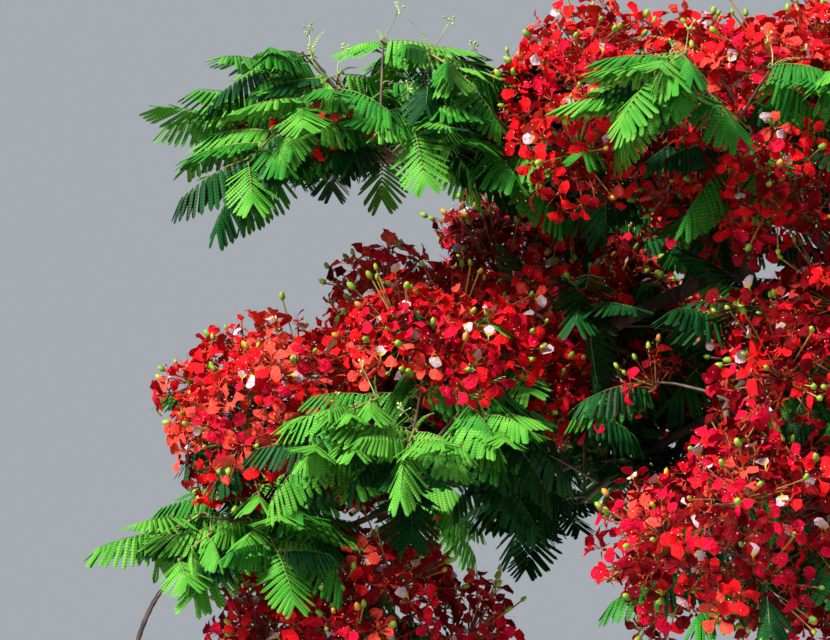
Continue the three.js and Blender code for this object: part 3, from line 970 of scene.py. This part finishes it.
blossom_nodes = [n for n in masses if n.startswith("blossom")]
leaf_nodes = [n for n in masses if n.startswith("leaves")]
CLAW_TINT, CLAW_OF_PETAL = (0.10, 0.02, 0.0), 0.7
for shade, (light, dark) in REDS.items():
    claw = tuple(CLAW_OF_PETAL * c + d for c, d in zip(light, CLAW_TINT))
    paint = petal_material("petal_" + shade, light, dark, claw)
    planted_piece("petals_" + shade, "petal_" + shade, paint, blossom_nodes)
white, pink, yellow = (0.68, 0.54, 0.58), (0.60, 0.34, 0.42), (0.66, 0.46, 0.06)
white_petal = petal_material("white_petal", white, pink, yellow, claw_share=0.72)
planted_piece("white_petals", "standard", white_petal, blossom_nodes)
SMALL_PARTS = {
    "sepal": ((0.64, 0.050, 0.028), (0.42, 0.016, 0.010), (0.45, 0.22, 0.05)),
    "stamen": ((0.62, 0.02, 0.03), (0.36, 0.01, 0.02), (0.60, 0.20, 0.08)),
    "anther": ((0.66, 0.46, 0.38), (0.36, 0.16, 0.14), (0.6, 0.4, 0.3)),
}
for kind, (light, dark, foot) in SMALL_PARTS.items():
    skin = petal_material(kind + "_skin", light, dark, foot)
    planted_piece(kind + "s", kind, skin, blossom_nodes)
stalk_skin = young_skin("stalk_skin", (0.36, 0.14, 0.04), (0.28, 0.035, 0.02))
joined_piece("flower_stalks", tube_parts["stalk"], stalk_skin, blossom_nodes)

# Buds
# Closed buds stand among the flowers on stalks of their own: plump green and yellow eggs about
# two centimetres long, several to a truss and of every age.
BUD_SIZE, BUD_TAPER, GREEN_BUDS = [7.2, 7.2, 11], 0.02, 0.88
bpy.ops.object.select_all(action="DESELECT")
bpy.ops.mesh.primitive_uv_sphere_add(segments=5, ring_count=3, radius=1)
bud_model = bpy.context.object
bud_model.data.calc_loop_triangles()
bud_corners = numbers_of(bud_model.data.vertices, "co") * BUD_SIZE
bud_corners[:, :2] *= 1.0 - BUD_TAPER * bud_corners[:, 2:3]
bud_triangles = np.array([t.vertices for t in bud_model.data.loop_triangles])
bud_part = (bud_corners, bud_triangles, np.zeros((len(bud_corners), 2)))
bpy.data.objects.remove(bud_model)
for number, (_, truss) in enumerate(every_truss):
    random = seeded(60000 + 59 * number)
    root = truss["middle"] - truss["out"] * truss["size"] * 0.2
    for _ in range(round(truss["size"] * (0.035 + 0.035 * random()))):
        turn, ring = random() * 2 * math.pi, 0.1 + 0.9 * math.sqrt(random())
        flat = truss["u"] * math.cos(turn) + truss["w"] * math.sin(turn)
        lift = 0.62 - 0.38 * ring * ring + 0.3 * (random() - 0.5)
        place = truss["middle"] + truss["size"] * (flat * ring + truss["out"] * lift)
        out = unit(truss["out"] + flat * ring + np.array([random() - 0.5, random() - 0.5, 0.2]))
        kind = "bud" if random() < GREEN_BUDS else "ripe_bud"
        plant(kind, bud_part, standing(out, 0, 0.66 + 0.5 * random()), place)
        points, _ = along_curve([root, (root + place) / 2 - out * 12, place - out * 7], 3)
        add_tube("bud_stalk", points, [1.7, 1.5, 2.1], 3)
bud_skin = young_skin("bud_skin", (0.34, 0.46, 0.03), (0.15, 0.30, 0.02))
planted_piece("buds", "bud", bud_skin, blossom_nodes)
ripe_skin = young_skin("ripe_bud_skin", (0.62, 0.42, 0.03), (0.45, 0.16, 0.02))
planted_piece("ripe_buds", "ripe_bud", ripe_skin, blossom_nodes)
bud_stalk_skin = young_skin("bud_stalk_skin", (0.34, 0.28, 0.05), (0.30, 0.09, 0.03))
joined_piece("bud_stalks", tube_parts["bud_stalk"], bud_stalk_skin, blossom_nodes)

# Leaves
# Each is cut twice: a rib that arches out and droops carries twelve pairs of side shoots, and
# each side shoot is a narrow blade of small leaflets that lie edge to edge. Side shoots hang down
# on both sides of the rib like a saddle. A spray of several leaves stands for each leaf solid.
SHOOT_PAIRS, SHOOT_LENGTH, SHOOT_WIDTH = 12, 0.50, 0.078
SHOOT_OUTLINE, SHOOT_FOLD = ((0.0, 0.4), (0.2, 1.0), (0.9, 0.82)), 0.35


def side_shoot(length, width, bend):
    """One side shoot along +X, folded a little along its middle, with a rounded tip."""
    corners, uv = [], []
    for share, wide in SHOOT_OUTLINE:
        for side in (-1, 0, 1):
            y = 0.5 * side * width * wide
            corners.append((share * length, y, -bend * share * share * length - SHOOT_FOLD * abs(y)))
            uv.append((0.5 + 0.5 * side * wide, share))
    tip = len(corners)
    corners.append((length, 0, -bend * length))
    uv.append((0.5, 1))
    triangles = strip(0, len(SHOOT_OUTLINE)) + [(tip - 3, tip, tip - 2), (tip - 2, tip, tip - 1)]
    return np.array(corners), np.array(triangles), np.array(uv)


def leaf_model(droop, shoot_length, shoot_width, bend, arch, seed):
    """A whole leaf of length 1 along +X, with +Z up."""
    random = seeded(seed)
    shoots = []
    for k in range(SHOOT_PAIRS):
        t = 0.10 + 0.86 * (k + 0.2 * random()) / (SHOOT_PAIRS - 1)
        foot = np.array([t - 0.05, 0, -arch * t * t])
        full = (0.55 + 0.45 * math.sin(math.pi * min(1, 0.12 + 0.80 * t))) * (0.92 + 0.16 * random())
        turn = math.radians(98 - 66 * t ** 1.3 + 8 * (random() - 0.5))
        for side in (-1, 1):
            sag = math.radians(droop + 14 * (random() - 0.5))
            aside, down = side * math.cos(sag), -math.sin(sag)
            x = np.array([math.cos(turn), math.sin(turn) * aside, math.sin(turn) * down])
            x = unit(x - UP * 1.2 * arch * t)
            y = unit(np.cross(UP, x))
            corners, triangles, uv = side_shoot(shoot_length * full, shoot_width, bend)
            shoots.append((corners @ np.array([x, y, np.cross(x, y)]) + foot, triangles, uv))
    return bunched(shoots)


YOUNG_ARCH = 0.8
leaf_models = [
    leaf_model(14 + 8 * k, SHOOT_LENGTH, SHOOT_WIDTH, 0.12 + 0.05 * k, ARCH, 500 + k) for k in range(5)
]
young_models = [leaf_model(50 + 15 * k, 0.17, 0.034, 0.3, YOUNG_ARCH, 600 + k) for k in range(2)]
POD_LENGTH, POD_STALK = 430, 128
LEAF_BESIDE_POD, LEAF_ABOVE_POD = 150, 10


def pod_line(m, azimuth):
    """The controls of a pod's middle line, which starts where the stalk's knee ends."""
    out = around(azimuth, 1, 0)
    knee = m["heart"] + out * POD_STALK - UP * 26
    bend = knee + out * 0.25 * POD_LENGTH - UP * 0.17 * POD_LENGTH
    end = knee + out * 0.3 * POD_LENGTH - UP * 0.93 * POD_LENGTH
    return [knee, bend, end]


pods = {
    "pod_left": (masses["leaves_low_left"], 188),
    "pod_right": (masses["leaves_low_right"], 44),
}
pod_points = np.vstack([along_curve(pod_line(m, azimuth), 9)[0] for m, azimuth in pods.values()])


def hides_pod(place):
    """True if a leaf's tip here would hang beside the open length of a pod."""
    gaps = np.hypot(*(pod_points - place)[:, :2].T)
    return (gaps < LEAF_BESIDE_POD).any() and place[2] < pod_points[:, 2].max() - LEAF_ABOVE_POD


def hang_leaf(shade, start, foot, along, size, random):
    """One leaf from its foot along its own way, with its rib and, from start, its stalk."""
    u, out, w = axes_at(along, UP + 0.5 * np.array([random() - 0.5, random() - 0.5, 0]))
    young = shade == "young"
    models, arch = (young_models, YOUNG_ARCH) if young else (leaf_models, ARCH)
    model = models[int(random() * len(models))]
    t = np.linspace(0, 0.97, 4)
    points = foot + size * (np.outer(t - 0.05, u) - np.outer(arch * t * t, out))
    if hides_pod(points[-1]):
        return
    plant("leaf_" + shade, model, np.array([u, -w, out]) * size, foot)
    add_tube("young_rib" if young else "rib", points, np.linspace(2.0, 0.7, 4) * size / 200, 3)
    if start is not None:
        stalk, _ = along_curve(raised(start, foot, 12), 4)
        add_tube("rib", stalk, [2.6, 2.3, 2.0, 1.9], 3)


def young_spray(place, way, random):
    """A thin raised stalk with a head of tiny green buds, the start of a new truss."""
    end = place + unit(way) * (45 + 35 * random())
    side = np.array([random() - 0.5, random() - 0.5, 0]) * 40
    points, _ = along_curve([place, (place + end) / 2 + side, end], 5)
    add_tube("young_rib", points, [1.6, 1.4, 1.2, 1.1, 1.0], 3)
    for _ in range(7):
        tuft = end + np.array([random() - 0.5, random() - 0.5, random() - 0.35]) * 26
        add_tube("young_rib", [end, tuft], [0.8, 0.8], 3)
        plant("tiny_bud", bud_part, standing(unit(tuft - end), 0, 0.26 + 0.16 * random()), tuft)


def deal_green(random, fresh_and_lit, green):
    """Fresh, green or shaded by these shares: the fresh green is partly a painted light, and the shaded
    green a painted shade.
    """
    pick = random()
    return "fresh_and_lit" if pick < fresh_and_lit else "green" if pick < fresh_and_lit + green else "shaded"


def leaf_spray(leaf, side_leaves, fresh_and_lit, green, random):
    """The leaves of one twig's end, within the reach of its leaf solid: one goes on along it and
    the rest stand off its sides, one above the other."""
    u, out, w, size = leaf["u"], leaf["out"], leaf["w"], leaf["size"]
    t = np.linspace(0.02, 0.44, 6)
    rib = leaf["foot"] + size * (np.outer(t - 0.05, u) - np.outer(ARCH * t * t, out))
    add_tube("rib", rib, np.linspace(3.2, 2.0, 6))
    hang_leaf(deal_green(random, fresh_and_lit, green), None, rib[5], u - out * 0.16, size * 0.57, random)
    for number in range(side_leaves):
        side, start = (-1) ** number, rib[number]
        lean = math.radians(38 + 44 * random())
        along = u * math.cos(lean) + w * side * math.sin(lean) + out * (0.08 + 0.5 * random())
        shade, length = deal_green(random, fresh_and_lit, green), size * (0.45 + 0.15 * random())
        hang_leaf(shade, start, start + along * 14, along, length, random)


LEAF_ROOM = 12


def is_free(foot, size, along):
    """True if a leaf along this way would lie clear of the limbs."""
    return is_clear(foot + np.outer(np.linspace(0.1, 0.9, 4) * size, along), LEAF_ROOM)


def small_leaves(m, shoot, how_many, fresh_and_lit, green, random):
    """Leaves that stand off a twig before its end, where there is room for them."""
    for _ in range(how_many):
        start = point_on(shoot["twig"], 0.35 + 0.6 * random())
        turn = math.atan2(shoot["way"][1], shoot["way"][0]) + 2.6 * (random() - 0.5)
        along = unit(np.array([math.cos(turn), math.sin(turn), 0.35 - 0.9 * random()]))
        size = 125 + 50 * random()
        foot = start + along * 22
        if is_free(foot, size, along) and depth_in(m, foot + 0.9 * size * along) < 1.3:
            hang_leaf(deal_green(random, fresh_and_lit, green), start, foot, along, size, random)


def inner_leaves(m, how_many, random):
    """Leaves on the stem of a mass of blossom, which fill its inside, most of them in the shaded green
    as a painted shade.
    """
    for index in range(how_many):
        turn = index * GOLDEN_ANGLE + m["seed"] + 2.2
        way = way_at(0.4 - 1.2 * index / how_many, turn)
        size = 140 + 50 * random()
        along = np.array([math.cos(turn), math.sin(turn), -0.1 - 0.5 * random()])
        foot = m["centre"] + way * m["half"] * (0.25 + 0.3 * random())
        if is_free(foot, size, unit(along)) and is_own(m, foot + 0.9 * size * unit(along)):
            start = point_on(m["stem"], 0.5 + 0.45 * random())
            hang_leaf(deal_green(random, 0.04, 0.22), start, foot, along, size, random)


for m in masses.values():
    random = seeded(m["seed"] + 900)
    inside = m["name"] == "leaves_inner"
    for shoot in m["leaves"]:
        high = shoot["way"][2] > 0
        # Leaves that face up get more of the fresh green, a painted light, and those of the inner mass
        # only green and shaded, a painted shade.
        fresh_and_lit, green = (0, 0.15) if inside else (0.62, 0.26) if high else (0.30, 0.36)
        full = high or "high" in m["name"]
        leaf_spray(shoot, 6 if full else 4, fresh_and_lit, green, random)
        small_leaves(m, shoot, 4 if full else 1, fresh_and_lit * 0.6, green, random)
        if not inside and high:
            place = shoot["end"] + UP * 4
            way = np.array([random() - 0.5, random() - 0.5, 0.7]) + shoot["way"] * 0.4
            young_spray(place, way, random)
            along = np.array([random() - 0.5, random() - 0.5, 0.9]) + shoot["way"] * 0.6
            hang_leaf("young", None, place, along, 48 + 30 * random(), random)
    if not m["leafy"]:
        for truss in m["trusses"][::4]:
            small_leaves(m, truss, 1, 0.10, 0.35, random)
        inner_leaves(m, 14, random)
for number, twig in enumerate(side_twigs):
    random = seeded(80000 + 37 * number)
    for _ in range(2 if "middle" in twig else 3):
        along = twig["way"] + 1.5 * np.array([random() - 0.5, random() - 0.5, random() - 0.7])
        shade = deal_green(random, 0.0, 0.14)
        hang_leaf(shade, None, twig["end"], along, 130 + 60 * random(), random)


def leaflet_effect():
    """Fine stripes across a side shoot, darker and lower where its leaflets meet."""
    group, given, made = new_effect("leaflets", dict(Color="Tint"), dict(Color="Colour", Float="Height"))
    place, stripes = add_node(group, "TexCoord"), add_node(group, "TexWave", Scale=3.6, Distortion=0.4)
    stripes.bands_direction = "Y"
    brightness = add_node(group, "MapRange", To_Min=0.62, To_Max=1.12)
    striped = add_node(group, "HueSaturation")
    wire(
        group,
        (place, "UV", stripes, "Vector"),
        (stripes, "Fac", brightness, "Value"),
        (brightness, "Result", striped, "Value"),
        (given, "Tint", striped, "Color"),
        (striped, "Color", made, "Colour"),
        (stripes, "Fac", made, "Height"),
    )
    return group


leaflets = leaflet_effect()
GREENS = {
    # The fresh green is partly the paler green of young leaves and partly a painted light on leaves that
    # face up.
    "fresh_and_lit": ((0.125, 0.410, 0.042), (0.055, 0.290, 0.022)),
    "green": ((0.042, 0.270, 0.020), (0.016, 0.160, 0.014)),
    "shaded": ((0.009, 0.085, 0.016), (0.003, 0.036, 0.008)),
    "young": ((0.360, 0.600, 0.110), (0.200, 0.430, 0.060)),
}
for shade, (light, dark) in GREENS.items():
    leaf_skin, tree, shader = new_material("leaf_" + shade, roughness=0.48, shine=0.10)
    tints = add_tints(tree, light, dark, low=0.36, scale=14, detail=4)
    look = add_effect(tree, leaflets)
    wire(tree, (tints, "Colour", look, "Tint"), (look, "Colour", shader, "Base Color"))
    add_relief(tree, look, strength=0.35, distance=0.001)
    planted_piece("leaves_" + shade, "leaf_" + shade, leaf_skin, leaf_nodes, smooth=False)
rib_skin = young_skin("rib_skin", (0.24, 0.30, 0.06), (0.18, 0.14, 0.045))
joined_piece("leaf_ribs", tube_parts["rib"], rib_skin, leaf_nodes)
young_rib_skin = young_skin("young_rib_skin", (0.50, 0.62, 0.20), (0.34, 0.42, 0.14))
joined_piece("young_ribs", tube_parts["young_rib"], young_rib_skin, leaf_nodes)
planted_piece("tiny_buds", "tiny_bud", young_rib_skin, leaf_nodes)

# Seed pods
# Long flat woody pods from last year hang on short stalks among the leaves. They are dark brown,
# curved, and swollen a little over each seed between two thicker seams.
POD_WIDTH, POD_THICKNESS, SEAM_THICKNESS = 44, 11, 1.6
POD_SIDES, POD_RINGS, POD_SEEDS = 16, 81, 15
pod_skin = young_skin("pod_skin", (0.075, 0.036, 0.026), (0.022, 0.012, 0.010))
pod_skin.node_tree.nodes["Principled BSDF"].inputs["Roughness"].default_value = 0.42


def pod(name, m, azimuth):
    """The stalk and the blade of one pod, swept along its bent middle line."""
    line = pod_line(m, azimuth)
    middle, t = along_curve(line, POD_RINGS)
    ahead = np.gradient(middle, axis=0)
    ahead /= np.linalg.norm(ahead, axis=1)[:, None]
    across = np.cross(ahead, around(azimuth, 1, 0))
    across /= np.linalg.norm(across, axis=1)[:, None]
    flat = np.cross(across, ahead)
    swell = 0.15 + 0.85 * np.sin(math.pi * np.minimum(0.96, 0.04 + 0.92 * t)) ** 0.4
    seeds = 0.92 + 0.08 * np.sin(t * math.pi * 2 * POD_SEEDS)
    angle = np.arange(POD_SIDES) * 2 * math.pi / POD_SIDES
    seam = np.where(np.abs(np.sin(angle)) > 0.85, SEAM_THICKNESS, 1.0)
    thick = 0.5 * POD_THICKNESS * np.cos(angle) * seam * (swell * seeds)[:, None]
    wide = 0.5 * POD_WIDTH * np.sin(angle) * swell[:, None]
    corners = middle[:, None] + across[:, None] * wide[..., None] + flat[:, None] * thick[..., None]
    ring, side = np.meshgrid(np.arange(POD_RINGS - 1), np.arange(POD_SIDES), indexing="ij")
    a = ring * POD_SIDES + side
    b = ring * POD_SIDES + (side + 1) % POD_SIDES
    sheets = [np.stack([a, a + POD_SIDES, b], -1), np.stack([b, a + POD_SIDES, b + POD_SIDES], -1)]
    last = POD_SIDES * (POD_RINGS - 1)
    caps = [(0, k + 1, k) for k in range(1, POD_SIDES - 1)]
    caps += [(last, last + k, last + k + 1) for k in range(1, POD_SIDES - 1)]
    triangles = np.vstack([*(s.reshape(-1, 3) for s in sheets), np.array(caps)])
    joined_piece(name + "_blade", [(corners.reshape(-1, 3), triangles)], pod_skin, [name])
    knee = line[0]
    points, _ = along_curve([m["heart"], m["heart"] * 0.4 + knee * 0.6, knee], 9)
    add_tube("pod_stalk", points, np.full(9, 3.5), 6)


for name, (m, azimuth) in pods.items():
    pod(name, m, azimuth)
joined_piece("pod_stalks", tube_parts["pod_stalk"], twig_bark, list(pods))
